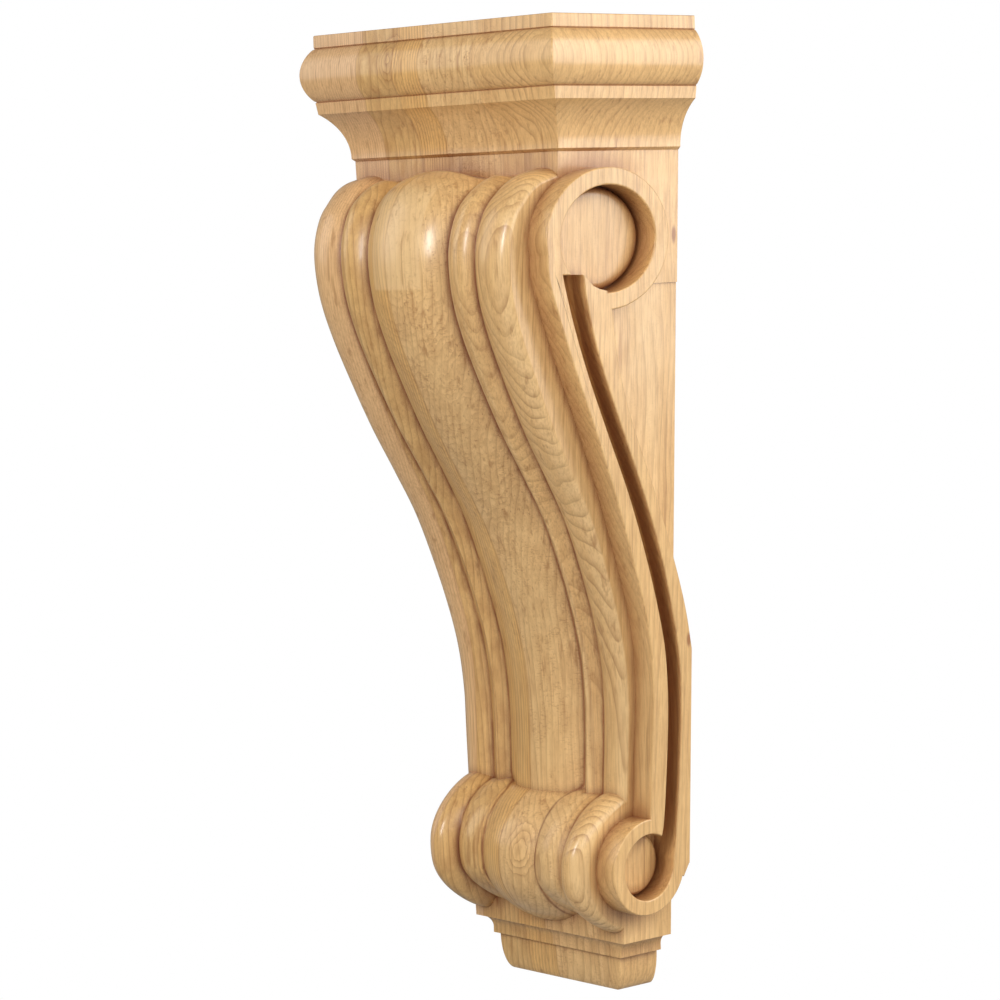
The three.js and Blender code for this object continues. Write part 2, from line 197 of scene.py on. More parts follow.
front = {
    "reach": 129.7,
    # where the side edge starts, as shares of the neck's depth and of the shaft's height
    "lineStart": [0.87, 0.976],
    # side edge from the neck down, as shares of the reach and of the shaft's height
    "line": [
        [0.794, 0.9616], [0.883, 0.95], [0.947, 0.9314], [0.99, 0.8992], [0.999, 0.8661],
        [0.979, 0.8231], [0.925, 0.7757], [0.837, 0.7192], [0.728, 0.6566], [0.605, 0.5959],
        [0.498, 0.5404], [0.407, 0.4755], [0.34, 0.4171], [0.296, 0.365], [0.276, 0.3136],
        [0.273, 0.2574], [0.279, 0.1912], [0.28, 0.12],
    ],
    # places across the half width, rises above the side edge's line, then shape and softness
    "neck": [0.42, 0.56, 0.685, 0.84, 3, 0, 2, 0.5, 5.4, 0, 2, 1, 1],
    "crown": [0.42, 0.56, 0.685, 0.84, 10, -1, 5.5, 0, 6, 0, 2, 1, 0.9],
    "upper": [0.41, 0.57, 0.685, 0.84, 12.5, -2, 4.5, -1, 2.5, -3.5, 2, 1, 0.95],
    "lower": [0.46, 0.56, 0.69, 0.85, 9.5, -1.5, 3.5, -1.5, 3.5, -0.7, 1.2, 1.6, 1.3],
    "roll": [0.33, 0.507, 0.694, 0.86, 6.6, 1.2, 3.6, -0.4, 9.4, -1.2, 2, 1.2, 1.1],
    "rollTop": [0.33, 0.507, 0.694, 0.86, 3.6, 1.4, 2.4, 0.6, 4.4, -1.2, 2, 1.2, 1.1],
    "rollUnder": [0.4, 0.507, 0.694, 0.86, 3, -4, -3.6, -5.6, 3, -1.2, 2, 1.2, 1.1],
    "neckEnd": 0.026, "crownAt": 0.055, "upperStart": 0.1,
    "upperEndHeight": 400, "lowerStartHeight": 230,
    "rollRadius": 38.9, "rollReach": 26.7, "rollHeight": 77.5, "turnStart": 0.15, "turnEnd": 0.9,
    "lobeShape": 2.3, "edgeSoftness": 0.65,
    "across": [26, 11, 11, 14, 16], "down": 260, "round": 150,
}


def fluteSection(flutes):
    # places across the half width and rises, from one side of the front to the other
    (innerAt, beadAt, outerValleyAt, outerAt, centre, inner, bead, outerValley, outer, edge,
     beadShape, beadSoft, lobeSoft) = flutes
    shape = front["lobeShape"]
    runs = [
        (0, centre, innerAt, inner, shape, lobeSoft),
        (beadAt, bead, innerAt, inner, beadShape, beadSoft),
        (beadAt, bead, outerValleyAt, outerValley, beadShape, beadSoft),
        (outerAt, outer, outerValleyAt, outerValley, shape, lobeSoft),
        (outerAt, outer, 1, edge, shape, front["edgeSoftness"]),
    ]
    places, rises = [0.0], [centre]
    for (crestAt, crest, valleyAt, valley, bend, soft), steps in zip(runs, front["across"]):
        part = np.arange(1, steps + 1) / steps
        if valleyAt < crestAt:
            part = 1 - part
        off = np.sin(math.pi / 2 * part)
        places += (crestAt + (valleyAt - crestAt) * off).tolist()
        rises += (valley + (crest - valley) * (1 - off ** bend) ** soft).tolist()
    places, rises = np.array(places), np.array(rises)
    return np.concatenate([-places[:0:-1], places]), np.concatenate([rises[:0:-1], rises])


def frontBody():
    bottom, height = shaft["bottom"], shaft["height"]
    startReach, startUp = front["lineStart"]
    line = [(shaft["neckDepth"] * startReach, bottom + startUp * height)]
    line += [(reach * front["reach"], bottom + up * height) for reach, up in front["line"]]
    count = front["down"]
    edge = evenPoints(line, count)
    tangent = np.gradient(edge, axis=0)
    tangent /= np.linalg.norm(tangent, axis=1)[:, None]
    names = ("neck", "crown", "upper", "lower")
    neck, crown, upper, lower = (np.array(front[name], float) for name in names)
    rings = []
    for i in range(count + 1):
        along = i / count
        down = smoothStep(-edge[i, 1], -front["upperEndHeight"], -front["lowerStartHeight"])
        top = lerp(neck, crown, smoothStep(along, front["neckEnd"], front["crownAt"]))
        body = lerp(upper, lower, down)
        flutes = lerp(top, body, smoothStep(along, front["crownAt"], front["upperStart"]))
        places, rises = fluteSection(flutes)
        reach = edge[i, 0] - tangent[i, 1] * rises
        z = edge[i, 1] + tangent[i, 0] * rises
        x = places * halfWidthAt(z)
        ring = np.stack([x, -reach, z], axis=1)
        first, last = ring[0] - [overlap, 0, 0], ring[-1] + [overlap, 0, 0]
        half = halfWidthAt(edge[i, 1]) + overlap
        wall = [[half, pastWall, edge[i, 1]], [-half, pastWall, edge[i, 1]]]
        rings.append(np.vstack([first, ring, last, wall]))
    return makeSolid(rings[::-1])


def lowerRoll():
    past = 1 + overlap / shaft["widthBottom"]
    roll, top, under = (np.array(front[k], float) for k in ("roll", "rollTop", "rollUnder"))
    lines = []
    for turn in np.linspace(0, 2 * math.pi, front["round"], endpoint=False):
        up = math.sin(turn)
        flutes = lerp(roll, top, smoothStep(up, front["turnStart"], front["turnEnd"]))
        flutes = lerp(flutes, under, smoothStep(-up, front["turnStart"], front["turnEnd"]))
        places, rises = fluteSection(flutes)
        places = np.concatenate([[-past], places, [past]])
        radius = front["rollRadius"] + np.concatenate([[rises[0]], rises, [rises[-1]]])
        z = front["rollHeight"] + radius * up
        y = radius * math.cos(turn) - front["rollReach"]
        lines.append(np.stack([places * halfWidthAt(z), y, z], axis=1))
    return makeSolid(np.array(lines).transpose(1, 0, 2))


def shaftBody():
    top, bottom = shaftTop, shaft["bottom"]
    neck = makeSolid([block(room, shaft["neckDepth"], z) for z in (top - shaft["neckHeight"], top)])
    base = makeSolid([block(room, shaft["baseDepth"], z) for z in (bottom, front["rollHeight"])])
    low, high = bottom - room, top + room
    flush = makeSolid([block(halfWidthAt(z), room, z) for z in (low, high)])
    body = join(frontBody(), lowerRoll(), neck, base)
    return combine(body, "INTERSECT", flush)


# Mouldings at the top and at the foot

cap = {
    "lip": 1.8, "cove": 26.5, "lowerFillet": 7.2, "bead": 31, "topFillet": 7.8,
    "lipStep": 1.8, "step": 16, "bulge": 6.3, "slope": 1, "ease": 0.8,
    "coveEase": [0.1, 0.7], "filletEase": [0.5, 0.6], "coveSteps": 25, "beadSteps": 41,
}
foot = {
    "height": 20.4, "ledge": 3.6, "rounding": 7.4, "step": 8.8, "fillet": 4.2,
    "coveShare": 0.85, "turnShare": 0.97, "frontShare": 0.63, "ease": 0.7,
    "ledgeEase": [0.25, 0.3], "ledgeRise": 0.6, "topRing": 0.4, "roundSteps": 30, "coveSteps": 22,
}


def capSolid():
    ease, step = cap["ease"], cap["step"]
    levels = [(0, shaftTop)]
    z = shaftTop + cap["lip"]
    run = step - cap["slope"] - cap["lipStep"]
    radius = (cap["cove"] ** 2 + run ** 2) / (2 * run)
    for up in np.linspace(0, cap["cove"], cap["coveSteps"]):
        levels.append((cap["lipStep"] + radius - math.sqrt(radius ** 2 - up ** 2), z + up))
    z += cap["cove"]
    out, up = cap["coveEase"]
    easeIn, easeUp = cap["filletEase"]
    levels += [(step - cap["slope"] + out, z + up), (step, z + cap["lowerFillet"] - easeUp)]
    z += cap["lowerFillet"]
    levels += [(step - easeIn, z)]
    half = cap["bead"] / 2
    radius = (half ** 2 + cap["bulge"] ** 2) / (2 * cap["bulge"])
    for up in np.linspace(-half, half, cap["beadSteps"])[1:-1]:
        out = step + cap["bulge"] - radius + math.sqrt(radius ** 2 - up ** 2)
        levels.append((out, z + half + up))
    z += cap["bead"]
    levels += [(step - easeIn, z), (step, z + easeUp)]
    top = z + cap["topFillet"]
    for turn in np.linspace(0, math.pi / 2, easeSteps):
        levels.append((step - ease * (1 - math.cos(turn)), top - ease + ease * math.sin(turn)))
    return makeSolid([
        block(shaft["widthTop"] / 2 + out, shaft["neckDepth"] + out, z, ease) for out, z in levels])


def footSolid():
    levels = []
    topStep = foot["step"] + foot["ledge"]
    for down in np.linspace(1, 0, foot["roundSteps"]):
        turn = 1 - math.sqrt(1 - foot["turnShare"] * down * down)
        levels.append((topStep + foot["rounding"] * turn, foot["height"] * (1 - down)))
    back, up = foot["ledgeEase"]
    levels.append((topStep + back, foot["height"] + up))
    levels.append((foot["step"], foot["height"] + foot["ledgeRise"]))
    bottom = foot["height"] + foot["fillet"]
    rise = shaft["bottom"] - bottom
    for turn in np.linspace(0, math.pi / 2, foot["coveSteps"]):
        back = foot["step"] * (1 - foot["coveShare"] * (1 - math.cos(turn)))
        levels.append((back, bottom + rise * math.sin(turn)))
    levels += [(0, shaft["bottom"] + foot["topRing"]), (0, shaft["bottom"] + overlap)]
    half, depth, ease = shaft["widthBottom"] / 2, shaft["baseDepth"], foot["ease"]
    return makeSolid([
        block(half - back, depth - back * foot["frontShare"], z, ease) for back, z in levels])


# The scroll on each side

scroll = {
    "full": 15, "low": 7, "slotDepth": 3, "eyeDepth": 2,
    "panelRecess": 0.8, "panelTop": 410, "panelFoot": 185,
    "curveSteps": 90, "backSteps": 60, "lowerEyeSteps": 90, "domeSteps": 14,
    "eye": [67.2, 436.1, 35.6, 29.7], "ring": [10.6, 9.6],
    "lowerEye": [31.6, 77.4, 19.2, 19.2], "lowerRing": 8.8,
    "buttonGap": 0.8, "buttonRaise": 2.8, "buttonRounding": 0.16, "ease": 0.9,
    "bandFront": [
        [112.4, 429], [112, 419], [109.2, 408.5], [100.9, 387.3], [90.4, 362.1], [77.4, 333.7],
        [59.6, 290.6], [46.2, 254], [36.7, 225], [31.6, 200], [29.9, 172], [30.6, 140], [31.2, 104],
    ],
    "slotFront": [
        [100.6, 417], [98.2, 408], [91.3, 386.9], [81.4, 361.6], [67.6, 331], [49, 290.6],
        [35.3, 254], [26.2, 225], [20.4, 200], [18, 172], [18.3, 140], [20.2, 104], [22.5, 92],
    ],
    "slotBack": [
        [86, 417], [83.5, 403], [77.6, 382], [70, 362.1], [57.1, 333], [37.9, 290.6],
        [24, 254], [15.9, 225], [10.2, 200], [7.8, 172], [8.3, 140], [10, 104], [12.2, 82],
        [15.5, 70],
    ],
    "bandBack": [
        [64, 398], [62, 385], [58, 364], [47.5, 333], [28.8, 290.6], [14.6, 254], [5, 225],
        [-0.6, 200], [-4, 185],
    ],
    "bandEnd": [[0, 75], [4, 68]],
    "shelf": [[89, 417], [86, 417], [78.5, 410.5], [74, 408.7], [68, 407.4], [68, 398], [89, 398]],
}


def band(side, relief):
    reach, height, across, up = scroll["eye"]
    lowReach, lowHeight, lowRadius, _ = scroll["lowerEye"]
    outer = lowRadius + scroll["lowerRing"]
    outlines = [
        ellipse(reach, height, across + scroll["ring"][0], up + scroll["ring"][1]),
        ellipse(lowReach, lowHeight, outer, outer, scroll["lowerEyeSteps"]),
        [[-pastWall, scroll["bandEnd"][0][1]], *scroll["bandEnd"], [lowReach, lowHeight],
         [lowReach, lowHeight + outer], [-pastWall, lowHeight + outer]],
        np.vstack([
            curvePoints(scroll["bandFront"], scroll["curveSteps"]),
            [-pastWall, lowHeight + lowRadius],
            curvePoints(scroll["bandBack"], scroll["backSteps"])[::-1]]),
    ]
    solids = [sideSolid(side, outline, -overlap, relief, scroll["ease"]) for outline in outlines]
    return join(*solids)


def button(side, eye):
    reach, height, across, up = eye
    across, up = across - scroll["buttonGap"], up - scroll["buttonGap"]
    raised, floor = scroll["buttonRaise"], scroll["eyeDepth"] / 2
    levels = [(1, -scroll["slotDepth"] - overlap)]
    for turn in np.linspace(0, math.pi / 2, scroll["domeSteps"]):
        levels.append((
            1 - scroll["buttonRounding"] * (1 - math.cos(turn)),
            raised - (raised + floor) * (1 - math.sin(turn))))
    rings = [
        leanOn(side, ellipse(reach, height, across * out, up * out), rise) for out, rise in levels]
    return makeSolid(rings, flipped=side > 0)


def addScroll(body, side, relief):
    lowReach, lowHeight = scroll["lowerEye"][:2]
    slotOutline = np.vstack([
        curvePoints(scroll["slotFront"], scroll["curveSteps"]), [lowReach, lowHeight],
        curvePoints(scroll["slotBack"], scroll["curveSteps"])[::-1]])
    lowerOutline = ellipse(*scroll["lowerEye"], scroll["lowerEyeSteps"])
    ease = scroll["ease"]
    eye = sideSolid(side, ellipse(*scroll["eye"]), -scroll["eyeDepth"], relief, ease, True)
    lowerEye = sideSolid(side, lowerOutline, -scroll["eyeDepth"], relief, ease, True)
    slot = sideSolid(side, slotOutline, -scroll["slotDepth"], relief, ease, True)
    shelf = sideSolid(side, scroll["shelf"], -scroll["slotDepth"] - overlap, relief)
    body = combine(join(body, band(side, relief)), "DIFFERENCE", eye)
    body = join(body, button(side, scroll["eye"]), shelf)
    body = combine(body, "DIFFERENCE", join(slot, lowerEye))
    return join(body, button(side, scroll["lowerEye"]))


def panelCut(side):
    outline = np.vstack([
        [-pastWall, scroll["panelTop"]], [-pastWall, scroll["panelFoot"]],
        curvePoints(scroll["bandBack"], scroll["backSteps"])[::-1],
        [scroll["eye"][0], scroll["panelTop"]]])
    return sideSolid(side, outline, -scroll["panelRecess"], overlap)


def carveCorbel():
    body = combine(shaftBody(), "DIFFERENCE", panelCut(-1), panelCut(1))
    body = addScroll(body, -1, scroll["low"])
    body = addScroll(body, 1, scroll["full"])
    body = join(body, capSolid(), footSolid())
    wallSide = [(-room, 0), (-room, -room), (room, -room), (room, 0)]
    levels = (-overlap, 2 * wallMiddle + overlap)
    halfSpace = makeSolid([[(x, y, z) for x, y in wallSide] for z in levels])
    body = combine(body, "INTERSECT", halfSpace)
    mesh = body.data
    mesh.transform(Matrix.Scale(1 / perMetre, 4) @ Matrix.Translation((0, 0, -wallMiddle)))
    mesh.shade_smooth()
    mesh.set_sharp_from_angle(angle=math.radians(sharpAngle))
    flats = body.modifiers.new("flats", "WEIGHTED_NORMAL")
    flats.keep_sharp = True
    body.name = mesh.name = "corbelCarving"
    return body


corbel = carveCorbel()
print("carving made:", len(corbel.data.polygons), "faces")
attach(corbel, "root")
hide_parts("corbel")


# Wood

class Wire:
    # a value, vector or colour on its way through the material
    def __init__(self, graph, socket):
        self.graph, self.socket = graph, socket

    def math(self, operation, *values):
        return self.graph.node("ShaderNodeMath", {"operation": operation}, [self, *values])

    def smooth(self, low, high, start=0, end=1):
        settings = {"interpolation_type": "SMOOTHSTEP"}
        return self.graph.node("ShaderNodeMapRange", settings, [self, low, high, start, end])

    def split(self):
        parts = self.graph.node("ShaderNodeSeparateXYZ", {}, [self]).socket.node.outputs
        return [Wire(self.graph, part) for part in parts]

    def __add__(self, other):
        return self.graph.blend("ADD", self, other)

    def __radd__(self, other):
        return self.graph.blend("ADD", other, self)

    def __sub__(self, other):
        return self.graph.blend("SUBTRACT", self, other)

    def __rsub__(self, other):
        return self.graph.blend("SUBTRACT", other, self)

    def __mul__(self, other):
        return self.graph.blend("MULTIPLY", self, other)

    def __rmul__(self, other):
        return self.graph.blend("MULTIPLY", other, self)

    def __truediv__(self, other):
        return self.graph.blend("DIVIDE", self, other)

    def __pow__(self, other):
        return self.math("POWER", other)


class Graph:
    def __init__(self, owner):
        owner.use_nodes = True
        self.tree = owner.node_tree
        self.tree.nodes.clear()

    def node(self, kind, settings=None, inputs=(), output=0):
        made = self.tree.nodes.new(kind)
        for key, value in (settings or {}).items():
            if key == "stops":
                self.setStops(made.color_ramp, value)
            else:
                setattr(made, key, value)
        pairs = inputs.items() if isinstance(inputs, dict) else enumerate(inputs)
        for key, value in pairs:
            self.feed(made.inputs[key], value)
        return Wire(self, made.outputs[output]) if len(made.outputs) else None

    def feed(self, socket, value):
        if isinstance(value, Wire):
            self.tree.links.new(value.socket, socket)
        elif hasattr(socket.default_value, "__len__"):
            parts = list(value) if hasattr(value, "__len__") else [value] * 3
            socket.default_value = (parts + [1])[:len(socket.default_value)]
        else:
            socket.default_value = value

    def setStops(self, ramp, stops):
        # each stop holds its three values until the next one starts
        ramp.interpolation = "CONSTANT"
        for k, (at, values) in enumerate(stops):
            stop = ramp.elements[k] if k < len(ramp.elements) else ramp.elements.new(at)
            stop.position, stop.color = at, (*values, 1)

    def blend(self, operation, first, second):
        types = []
        for value in (first, second):
            plain = "VECTOR" if hasattr(value, "__len__") else "VALUE"
            types.append(value.socket.type if isinstance(value, Wire) else plain)
        if "RGBA" in types:
            return self.mix(first, second, 1, operation)
        kind = "ShaderNodeVectorMath" if "VECTOR" in types else "ShaderNodeMath"
        return self.node(kind, {"operation": operation}, [first, second])

    def mix(self, first, second, factor, operation="MIX"):
        settings = {"data_type": "RGBA", "blend_type": operation}
        return self.node("ShaderNodeMix", settings, {0: factor, 6: first, 7: second}, 2)

    def noise(self, place, size, detail, roughness):
        stretched = place * tuple(1 / part for part in size)
        return self.node("ShaderNodeTexNoise", {}, {
            "Vector": stretched, "Scale": 1, "Detail": detail, "Roughness": roughness})


wood = {
    # the staves across the width: where each starts, and the joints that show
    "starts": [-100, -58, -26.5, -3, 43, 60], "reach": 100,
    "joints": [-58, -26.5, -3, 43], "jointSharpness": 1.4,
    # by stave: ring lines per millimetre across and inwards, and how strong they are
    "rings": [
        (0.42, 0.1, 0.6), (0.2, 0.14, 0.75), (0.36, 0.12, 1),
        (0.16, 0.2, 0.6), (-0.11, 0.2, 0.5), (-0.11, 0.2, 0.85)],
    # by stave: how strongly it is mottled, flecked and streaked
    "figure": [
        (0.2, 0.1, 0.8), (1, 0.35, 0.6), (0.5, 0.2, 0.8),
        (0.6, 1, 0.5), (0.6, 0.6, 0.9), (0.4, 0.25, 0.75)],
    "tint": [
        (0.98, 0.95, 1.05), (0.93, 0.9, 0.8), (0.99, 0.93, 0.76),
        (1, 1.01, 1.03), (0.98, 0.96, 0.93), (0.98, 0.96, 0.93)],
    "light": (0.88, 0.565, 0.238), "line": (0.4, 0.17, 0.05), "fleck": (0.34, 0.12, 0.035),
    # the colour that the painted shade multiplies in, the pale patch, and the colour that the
    # painted light multiplies in
    "gathered": (0.3, 0.1, 0.03), "patch": (0.92, 0.64, 0.32), "paintedLight": (1.08, 1.14, 1.26),
    # how far one swing of each noise runs across, inwards and up, its detail and its roughness,
    # then for most of them the limits that it is stretched between
    "noises": {
        "drift": [(45, 45, 260), 2, 0.5],
        "wander": [(9, 9, 60), 2, 0.5],
        "fade": [(14, 14, 90), 2, 0.5, 0.35, 0.6, 0.5, 1],
        "worn": [(8, 8, 22), 3, 0.6],
        "streaks": [(0.9, 0.9, 30), 3, 0.6, 0.42, 0.68],
        "pores": [(0.5, 0.5, 7), 1, 0.5, 0.66, 0.76],
        "flecks": [(1.6, 1.6, 3.4), 2, 0.6, 0.6, 0.72],
        "mottle": [(7, 7, 16), 3, 0.6, 0.35, 0.7],
        "ladder": [(2.4, 2.4, 1), 2, 0.6, 0.5, 0.66],
        "waves": [(8, 8, 13), 2, 0.6],
        "bands": [(4, 4, 170), 3, 0.6, 0.56, 0.72],
        "tone": [(60, 60, 120), 2, 0.5],
        "grain": [(2, 2, 40), 2, 0.5],
        "sheen": [(14, 14, 50), 3, 0.5],
    },
    # how strongly each figure, and the painted shade and painted light, show in the colour
    "show": {
        "streaks": 0.38, "mottle": 0.4, "curl": 0.36, "ladder": 0.35, "flecks": 0.5,
        "pores": 0.2, "patch": 0.45, "bands": 0.55, "knot": 0.85, "joint": 0.3, "swirl": 0.6,
        "gathered": 0.9, "valley": 0.85, "haze": 0.16, "crest": 0.5,
    },
    "toneSwing": 0.3, "toneLeast": 0.85,
    # the rings drift as they rise, close up towards the right edge and weaken on the sides
    "driftRings": 7, "wanderRings": 0.4, "ringTilt": 0.006, "lateSharpness": 4, "lateEdge": 0.93,
    "closeFrom": 68, "closeRun": 24, "close": 0.0018, "sideFade": (-2, -1, 1, 0.6),
    # the swirls: where across, how high, how wide, how tall, how many rings each has
    "swirls": [(-30, 540, 8, 13, 4), (13, 85, 8, 13, 4)],
    "swirlWobble": 0.5, "swirlSharpness": 3, "swirlEdge": (0.1, 0.3),
    # the knots at the wall edge: how far inwards, how high, how wide, how tall
    "knots": [(-3, 437, 2.2, 6), (-2.5, 206, 2, 5)],
    "knotFrom": (66, 72), "knotEdge": (0.25, 0.85),
    # heights and worn places between which flecks, ladder marks, curl and the painted shade along
    # the valleys come in
    "flecksUp": (150, 300, 0.3, 1), "ladderWorn": (0.42, 0.62), "curlWorn": (0.3, 0.6, 0.3, 1),
    "valleyWorn": (0.3, 0.6, 0.45, 1),
    # the wavy figure down the middle lobe, and the pale patch above it
    "curlMiddle": 4, "curlRings": 0.2, "curlBow": 0.0045, "curlWaves": 3, "curlSharpness": 2.5,
    "curlEndBow": 0.06, "curlEnd": (250, 262), "curlStart": (414, 404),
    "curlLeft": (-26, -20), "curlRight": (38, 28),
    "patchLeft": (-18, -16), "patchRight": (22, 21), "patchFoot": (410, 412),
    "patchHead": (470, 462),
    # the carved front's limits, then shares of the half width: its valleys, crests and flanks,
    # where the painted shade and painted light go
    "frontFrom": (-8, -16), "frontTop": (473, 466), "frontFoot": (36, 44),
    "innerValley": (400, 230, 0.412, 0.46), "rollValley": (122, 112, 0, 0.115),
    "outerValley": 0.688, "valleyWidth": 0.014, "beadCrest": 0.572, "beadSharpness": 45,
    "flank": (0.86, 0.95), "flankEdge": (0.5, -0.5),
    # how far around it, in metres, the ambient occlusion looks for corners to put painted shade in:
    # further in the deep places
    "near": 0.006, "further": 0.01, "deepFrom": (1, 6), "capFrom": (468, 478),
    "footFrom": (60, 44), "corner": (0.68, 0.38), "haze": (0.95, 0.6),
    # the surface: what stands in or out of it, then its roughness and its coat
    "relief": {"Strength": 0.2, "Distance": 0.00015},
    "hollow": -0.5, "hollows": {"streaks": 0.5, "pores": 0.6, "ladder": 0.5}, "grainRise": 0.4,
    # the sheen values set the roughness, which also rises where the painted shade is
    "sheenSwing": 0.2, "sheenLeast": 0.3, "paintedShadeRoughness": 0.15,
    "coat": 0.55, "coatLoss": 0.4, "coatLeast": 0.08, "coatRoughness": 0.2,
}


def makeWood():
    material = bpy.data.materials.new("lacqueredHardwood")
    g = Graph(material)
    place = g.node("ShaderNodeTexCoord", output="Object") * perMetre + (0, 0, wallMiddle)
    x, y, z = place.split()
    show = wood["show"]

    def noise(name):
        size, detail, roughness, *limits = wood["noises"][name]
        plain = g.noise(place, size, detail, roughness)
        return plain.smooth(*limits) if limits else plain

    def byStave(key, scale=1, shift=0):
        # the three values kept for the stave that a point is in
        stops = [
            (start * 0.5 / wood["reach"] + 0.5, [value * scale + shift for value in values])
            for start, values in zip(wood["starts"], wood[key])]
        return g.node("ShaderNodeValToRGB", {"stops": stops}, [x * (0.5 / wood["reach"]) + 0.5])

    def off(distance, width):
        return (distance * (1 / width)) ** 2

    def spot(offs):
        # 1 in the middle, falling to 0 around it
        return (offs * -1).math("EXPONENT")

    # a ramp holds nothing below 0, so the rings' values are kept at half scale around 0.5
    ringX, ringY, ringDepth = (part * 2 - 1 for part in byStave("rings", 0.5, 0.5).split())
    mottled, flecked, streaked = byStave("figure").split()
    worn = noise("worn")
    onFront = y.smooth(*wood["frontFrom"])
    lowHalf = halfWidthAt(0)
    half = z * (halfWidthAt(1) - lowHalf) + lowHalf
    beyond = x.math("ABSOLUTE") - half
    share = x.math("ABSOLUTE") / half

    # the growth rings: a sharp late edge with a slow fade behind it
    drift = noise("drift") * wood["driftRings"] + noise("wander") * wood["wanderRings"]
    close = (x - wood["closeFrom"]).math("MAXIMUM", 0).math("MINIMUM", wood["closeRun"])
    turn = x * ringX + y * ringY + z * wood["ringTilt"] + drift - close * close * wood["close"]
    part = turn.math("FRACT")
    late = (part ** wood["lateSharpness"]) * part.smooth(1, wood["lateEdge"])
    rings = late * ringDepth * noise("fade") * beyond.smooth(*wood["sideFade"])
    for alongX, alongZ, wide, tall, count in wood["swirls"]:
        rise = spot(off(x - alongX, wide) + off(z - alongZ, tall))
        around = ((rise + worn * wood["swirlWobble"]) * count).math("FRACT")
        around = around ** wood["swirlSharpness"] * rise.smooth(*wood["swirlEdge"])
        rings = rings + around * onFront * show["swirl"]

    # streaks along the grain, short pores, flecks, mottling and ladder marks
    streaks = noise("streaks") * streaked
    pores = noise("pores")
    flecks = noise("flecks") * flecked * z.smooth(*wood["flecksUp"])
    mottle = noise("mottle") * mottled
    ladder = noise("ladder") * worn.smooth(*wood["ladderWorn"]) * flecked

    # the wavy figure and the pale patch
    middle = x - wood["curlMiddle"]
    bow = middle * middle
    nested = z * wood["curlRings"] - bow * wood["curlBow"] + noise("waves") * wood["curlWaves"]
    curlBand = (z - bow * wood["curlEndBow"]).smooth(*wood["curlEnd"])
    curlBand = curlBand * z.smooth(*wood["curlStart"])
    curlBand = curlBand * x.smooth(*wood["curlLeft"]) * x.smooth(*wood["curlRight"])
    curl = nested.math("FRACT") ** wood["curlSharpness"] * worn.smooth(*wood["curlWorn"])
    curl = curl * curlBand * onFront
    patch = x.smooth(*wood["patchLeft"]) * x.smooth(*wood["patchRight"])
    patch = patch * z.smooth(*wood["patchFoot"]) * z.smooth(*wood["patchHead"]) * onFront

    colour = g.mix(wood["light"], wood["line"], rings) * byStave("tint")
    for tone, name, amount in (
            ("line", "streaks", streaks), ("line", "mottle", mottle), ("line", "curl", curl),
            ("fleck", "ladder", ladder), ("fleck", "flecks", flecks), ("fleck", "pores", pores),
            ("patch", "patch", patch)):
        colour = g.mix(colour, wood[tone], amount * show[name])
    colour = colour * (noise("tone") * wood["toneSwing"] + wood["toneLeast"])
    colour = g.mix(colour, wood["line"], noise("bands") * show["bands"])
    for inwards, alongZ, wide, tall in wood["knots"]:
        knot = spot(off(y - inwards, wide) + off(z - alongZ, tall)) * x.smooth(*wood["knotFrom"])
        colour = g.mix(colour, wood["fleck"], knot.smooth(*wood["knotEdge"]) * show["knot"])
    for start in wood["joints"]:
        joint = spot(((x - start) * wood["jointSharpness"]) ** 2)
        colour = g.mix(colour, wood["fleck"], joint * show["joint"])

    # painted light: the outer lobes' flanks are painted paler as if lit from the side, and the
    # beads' crests get a painted highlight
    crest = ((share - wood["beadCrest"]) * wood["beadSharpness"]).math("ABSOLUTE").smooth(1, 0)
    flank = share.smooth(*wood["flank"]) * beyond.smooth(*wood["flankEdge"])
    paintedLight = (flank + crest * show["crest"]) * onFront * z.smooth(*wood["frontTop"])
    colour = g.mix(colour, colour * wood["paintedLight"], paintedLight)

    # painted shade: darker in the corners that the ambient occlusion finds, with a broad faint
    # painted shade around them, and along the valleys
    deep = beyond.smooth(*wood["deepFrom"])
    deep = (deep + z.smooth(*wood["capFrom"]) + z.smooth(*wood["footFrom"])).math("MINIMUM", 1)
    spread = deep * wood["further"] + wood["near"]
    settings = {"samples": 2, "only_local": True}
    openness = g.node("ShaderNodeAmbientOcclusion", settings, {"Distance": spread}, 1)
    inner = z.smooth(*wood["innerValley"]) - z.smooth(*wood["rollValley"])
    innerLine, outerLine = (
        spot(off(share - at, wood["valleyWidth"])) for at in (inner, wood["outerValley"]))
    valleys = (innerLine + outerLine) * worn.smooth(*wood["valleyWorn"])
    valleys = valleys * z.smooth(*wood["frontFoot"]) * z.smooth(*wood["frontTop"]) * onFront
    gathered = openness.smooth(*wood["corner"]) + openness.smooth(*wood["haze"]) * show["haze"]
    gathered = (gathered + valleys * show["valley"]).math("MINIMUM", 1)
    colour = g.mix(colour, colour * wood["gathered"], gathered * show["gathered"])

    hollows = wood["hollows"]
    height = streaks * hollows["streaks"] + pores * hollows["pores"] + ladder * hollows["ladder"]
    height = height * wood["hollow"] + noise("grain") * wood["grainRise"]
    relief = g.node("ShaderNodeBump", {}, {**wood["relief"], "Height": height})
    roughness = noise("sheen") * wood["sheenSwing"] + wood["sheenLeast"]
    coat = wood["coat"] - (flecks + ladder + mottle) * wood["coatLoss"]
    surface = g.node("ShaderNodeBsdfPrincipled", {}, {
        "Base Color": colour, "Roughness": roughness + gathered * wood["paintedShadeRoughness"],
        "Normal": relief, "Coat Weight": coat.math("MAXIMUM", wood["coatLeast"]),
        "Coat Roughness": wood["coatRoughness"]})
    g.node("ShaderNodeOutputMaterial", {}, {"Surface": surface})
    return material


corbel.data.materials.clear()
corbel.data.materials.append(makeWood())
print("wood made")


# Floor, light and camera

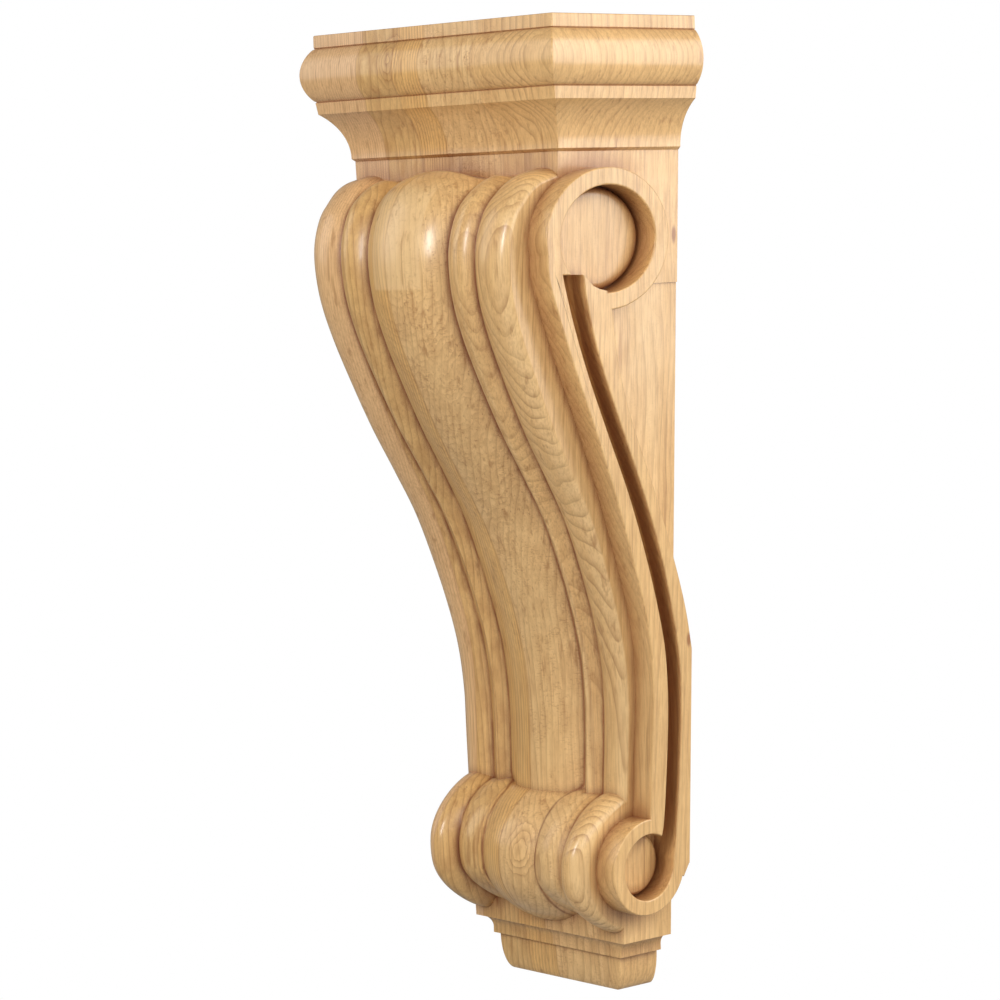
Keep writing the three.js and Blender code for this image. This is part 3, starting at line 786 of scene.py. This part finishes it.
stage = {
    "floorDrop": 0.12, "floorHalf": 20, "floorColour": 0.4, "floorRoughness": 0.7,
    "lampAim": (0, -0.06, 0.05), "worldStrength": 0.22,
}
lights = {
    "key": {"azimuth": 16, "elevation": 18, "away": 1.5, "wide": 0.2, "tall": 0.6, "power": 10},
    "side": {"azimuth": 130, "elevation": 17, "away": 1.5, "wide": 0.85, "tall": 1.3, "power": 15},
    "right": {"azimuth": 72, "elevation": 25, "away": 1.8, "wide": 1.2, "tall": 1, "power": 11},
    "front": {"azimuth": -49, "elevation": 20, "away": 1.8, "wide": 0.9, "tall": 1.2, "power": 5},
}


def whiteToTheCamera(g, kind, shade):
    # the photo's background is pure white, so the camera sees white where other rays see the shade
    seen = g.node("ShaderNodeLightPath", output="Is Camera Ray")
    white = g.node(kind, {}, {"Color": (1, 1, 1), "Strength": 1})
    return g.node("ShaderNodeMixShader", {}, [seen, shade, white])


def outwards(azimuth, elevation):
    # azimuth 0 is straight out from the wall, and 90 is to the right of the front
    a, e = math.radians(azimuth), math.radians(elevation)
    return Vector((math.sin(a) * math.cos(e), -math.cos(a) * math.cos(e), math.sin(e)))


def makeFloor():
    far = stage["floorHalf"]
    corners = [(-far, -far, 0), (far, -far, 0), (far, far, 0), (-far, far, 0)]
    mesh = bpy.data.meshes.new("floor")
    mesh.from_pydata(corners, [], [(0, 1, 2, 3)])
    floor = bpy.data.objects.new("floor", mesh)
    floor.location.z = -wallMiddle / perMetre - stage["floorDrop"]
    bpy.context.scene.collection.objects.link(floor)
    material = bpy.data.materials.new("paleFloor")
    g = Graph(material)
    matt = g.node("ShaderNodeBsdfPrincipled", {}, {
        "Base Color": stage["floorColour"], "Roughness": stage["floorRoughness"]})
    g.node("ShaderNodeOutputMaterial", {}, {
        "Surface": whiteToTheCamera(g, "ShaderNodeEmission", matt)})
    mesh.materials.append(material)


def makeLights():
    for name, lamp in lights.items():
        light = bpy.data.lights.new(name, "AREA")
        light.shape, light.size, light.size_y = "RECTANGLE", lamp["wide"], lamp["tall"]
        light.energy = lamp["power"]
        holder = bpy.data.objects.new(name, light)
        toward = outwards(lamp["azimuth"], lamp["elevation"])
        holder.location = Vector(stage["lampAim"]) + toward * lamp["away"]
        holder.rotation_euler = (-toward).to_track_quat("-Z", "Y").to_euler()
        bpy.context.scene.collection.objects.link(holder)
    world = bpy.data.worlds.new("studio")
    bpy.context.scene.world = world
    g = Graph(world)
    soft = g.node("ShaderNodeBackground", {}, {"Color": 1, "Strength": stage["worldStrength"]})
    g.node("ShaderNodeOutputWorld", {}, {
        "Surface": whiteToTheCamera(g, "ShaderNodeBackground", soft)})


# the camera was fitted to the photo: across and up move it sideways from the line through aim
view = {
    "azimuth": 49.0, "elevation": 4.745, "roll": 1.8, "distance": 1971.931,
    "aim": (0, -50, 280), "across": 11.127, "up": -6.282, "lens": 122.294,
    "sensor": 36, "farthest": 100,
}


def makeCamera():
    back = outwards(view["azimuth"], view["elevation"])
    a, r = math.radians(view["azimuth"]), math.radians(view["roll"])
    right = Vector((math.cos(a), math.sin(a), 0))
    up = back.cross(right)
    place = Vector(view["aim"]) + back * view["distance"] - right * view["across"] - up * view["up"]
    place = (place - Vector((0, 0, wallMiddle))) / perMetre
    sideways = right * math.cos(r) - up * math.sin(r)
    upright = right * math.sin(r) + up * math.cos(r)
    lens = bpy.data.cameras.new("camera")
    lens.lens, lens.sensor_width, lens.clip_end = view["lens"], view["sensor"], view["farthest"]
    camera = bpy.data.objects.new("camera", lens)
    turned = Matrix((sideways, upright, back)).transposed().to_4x4()
    camera.matrix_world = Matrix.Translation(place) @ turned
    bpy.context.scene.collection.objects.link(camera)
    bpy.context.scene.camera = camera


makeFloor()
makeLights()
makeCamera()
bpy.context.scene.view_settings.view_transform = "Standard"
print("stage made")
